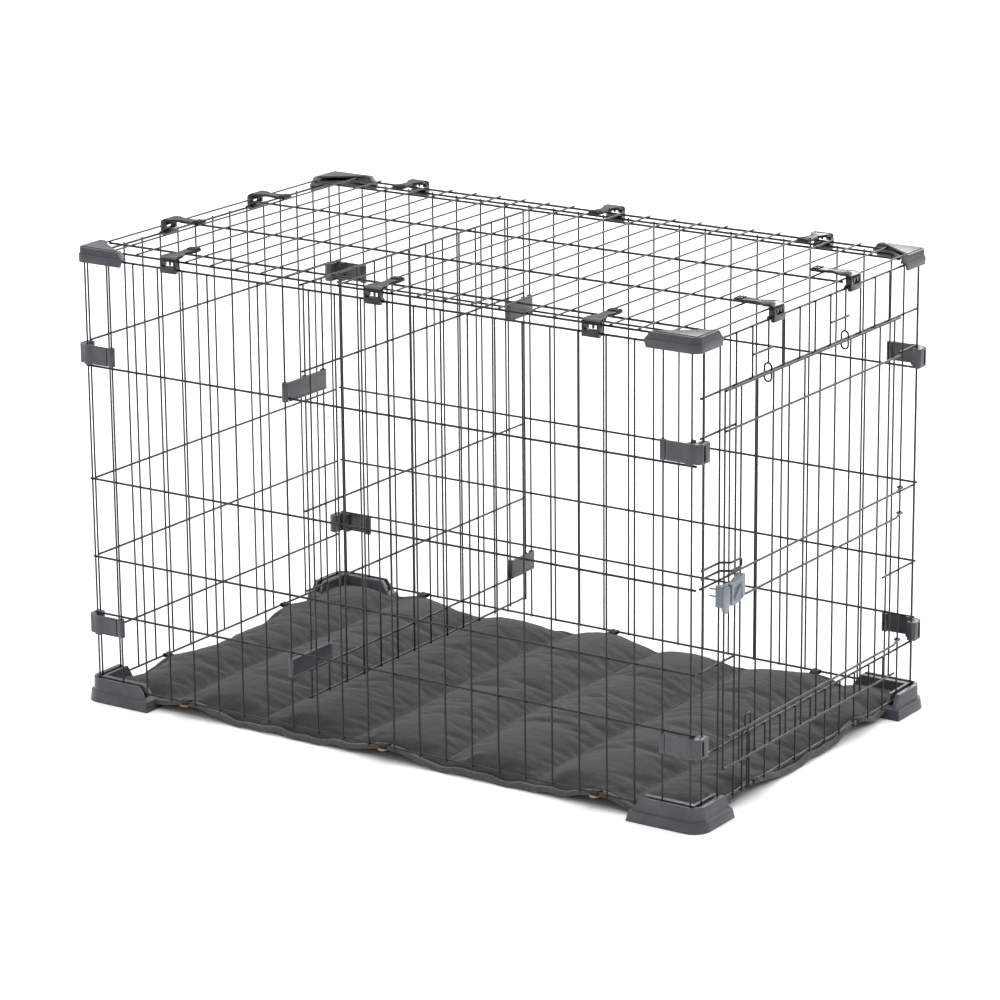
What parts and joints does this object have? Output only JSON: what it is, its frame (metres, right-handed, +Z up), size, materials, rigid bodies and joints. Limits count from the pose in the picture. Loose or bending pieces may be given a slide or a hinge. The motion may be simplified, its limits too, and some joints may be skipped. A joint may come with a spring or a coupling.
{
  "type": "wire dog crate",
  "caption": "Folding wire dog crate with a hinged side door, lift-off roof, divider panel, plastic feet and clips, and a quilted floor pad.",
  "frame": {"origin": "centre of the footprint on the floor, under the feet", "axes": "+Z up, the long front wall faces -Y, the wall with the door faces +X"},
  "size_m": [0.963, 0.584, 0.6254],
  "materials": {
    "wire": "satin dark powder coat",
    "slate_plastic": "satin",
    "black_plastic": "gloss",
    "grey_plastic": "satin",
    "pad_fabric": "quilted matt cloth",
    "tie_fabric": "woven tape",
    "button_plastic": "satin"
  },
  "bodies": {
    "frame": {"front_panel": "wire", "back_panel": "wire", "left_panel": "wire", "right_panel": "wire", "header_eyes": "wire", "striker_loop": "wire", "sill_hairpin": "wire", "roof_panel": "wire", "divider_panel": "wire", "foot_front_right": "slate_plastic", "foot_front_left": "slate_plastic", "foot_back_right": "slate_plastic", "foot_back_left": "slate_plastic", "cap_front_right": "slate_plastic", "cap_front_left": "slate_plastic", "cap_back_right": "slate_plastic", "cap_back_left": "slate_plastic", "corner_clip_lower_front_right": "slate_plastic", "corner_clip_lower_front_left": "slate_plastic", "corner_clip_lower_back_right": "slate_plastic", "corner_clip_lower_back_left": "slate_plastic", "corner_clip_upper_front_right": "slate_plastic", "corner_clip_upper_front_left": "slate_plastic", "corner_clip_upper_back_right": "slate_plastic", "corner_clip_upper_back_left": "slate_plastic", "divider_clip_lower_front": "slate_plastic", "divider_clip_lower_back": "slate_plastic", "divider_clip_upper_front": "slate_plastic", "divider_clip_upper_back": "slate_plastic", "mattress": "pad_fabric", "mattress_ties": "tie_fabric", "tie_buttons": "button_plastic"},
    "door": {"door_grid": "wire", "door_hinge_wires": "wire", "door_latch_housing": "grey_plastic"},
    "latch_slider": {"door_latch_slider": "grey_plastic"},
    "roof_latch_front_1": {"roof_latch_front_1": "black_plastic"},
    "roof_latch_front_2": {"roof_latch_front_2": "black_plastic"},
    "roof_latch_front_3": {"roof_latch_front_3": "black_plastic"},
    "roof_latch_right_1": {"roof_latch_right_1": "black_plastic"},
    "roof_latch_right_2": {"roof_latch_right_2": "black_plastic"},
    "roof_latch_back_1": {"roof_latch_back_1": "black_plastic"},
    "roof_latch_back_2": {"roof_latch_back_2": "black_plastic"},
    "roof_latch_back_3": {"roof_latch_back_3": "black_plastic"},
    "roof_latch_left_1": {"roof_latch_left_1": "black_plastic"},
    "roof_latch_left_2": {"roof_latch_left_2": "black_plastic"}
  },
  "joints": [
    {"name": "door_hinge", "type": "hinge", "parent": "frame", "child": "door", "pos_m": [0.467, 0.2286, 0.3], "axis": [0, 0, 1], "range_deg": [0, 135]},
    {"name": "latch_slide", "type": "slide", "parent": "door", "child": "latch_slider", "axis": [0, 1, 0], "range_m": [0, 0.006]},
    {"name": "roof_latch_front_1_turn", "type": "hinge", "parent": "frame", "child": "roof_latch_front_1", "pos_m": [-0.32, -0.27835, 0.606], "axis": [1, 0, 0], "range_deg": [0, 100]},
    {"name": "roof_latch_front_2_turn", "type": "hinge", "parent": "frame", "child": "roof_latch_front_2", "pos_m": [0, -0.27835, 0.606], "axis": [1, 0, 0], "range_deg": [0, 100]},
    {"name": "roof_latch_front_3_turn", "type": "hinge", "parent": "frame", "child": "roof_latch_front_3", "pos_m": [0.32, -0.27835, 0.606], "axis": [1, 0, 0], "range_deg": [0, 100]},
    {"name": "roof_latch_right_1_turn", "type": "hinge", "parent": "frame", "child": "roof_latch_right_1", "pos_m": [0.46435, -0.09525, 0.606], "axis": [0, 1, 0], "range_deg": [0, 100]},
    {"name": "roof_latch_right_2_turn", "type": "hinge", "parent": "frame", "child": "roof_latch_right_2", "pos_m": [0.46435, 0.09525, 0.606], "axis": [0, 1, 0], "range_deg": [0, 100]},
    {"name": "roof_latch_back_1_turn", "type": "hinge", "parent": "frame", "child": "roof_latch_back_1", "pos_m": [-0.32, 0.27835, 0.606], "axis": [-1, 0, 0], "range_deg": [0, 100]},
    {"name": "roof_latch_back_2_turn", "type": "hinge", "parent": "frame", "child": "roof_latch_back_2", "pos_m": [0, 0.27835, 0.606], "axis": [-1, 0, 0], "range_deg": [0, 100]},
    {"name": "roof_latch_back_3_turn", "type": "hinge", "parent": "frame", "child": "roof_latch_back_3", "pos_m": [0.32, 0.27835, 0.606], "axis": [-1, 0, 0], "range_deg": [0, 100]},
    {"name": "roof_latch_left_1_turn", "type": "hinge", "parent": "frame", "child": "roof_latch_left_1", "pos_m": [-0.46435, -0.09525, 0.606], "axis": [0, -1, 0], "range_deg": [0, 100]},
    {"name": "roof_latch_left_2_turn", "type": "hinge", "parent": "frame", "child": "roof_latch_left_2", "pos_m": [-0.46435, 0.09525, 0.606], "axis": [0, -1, 0], "range_deg": [0, 100]}
  ]
}
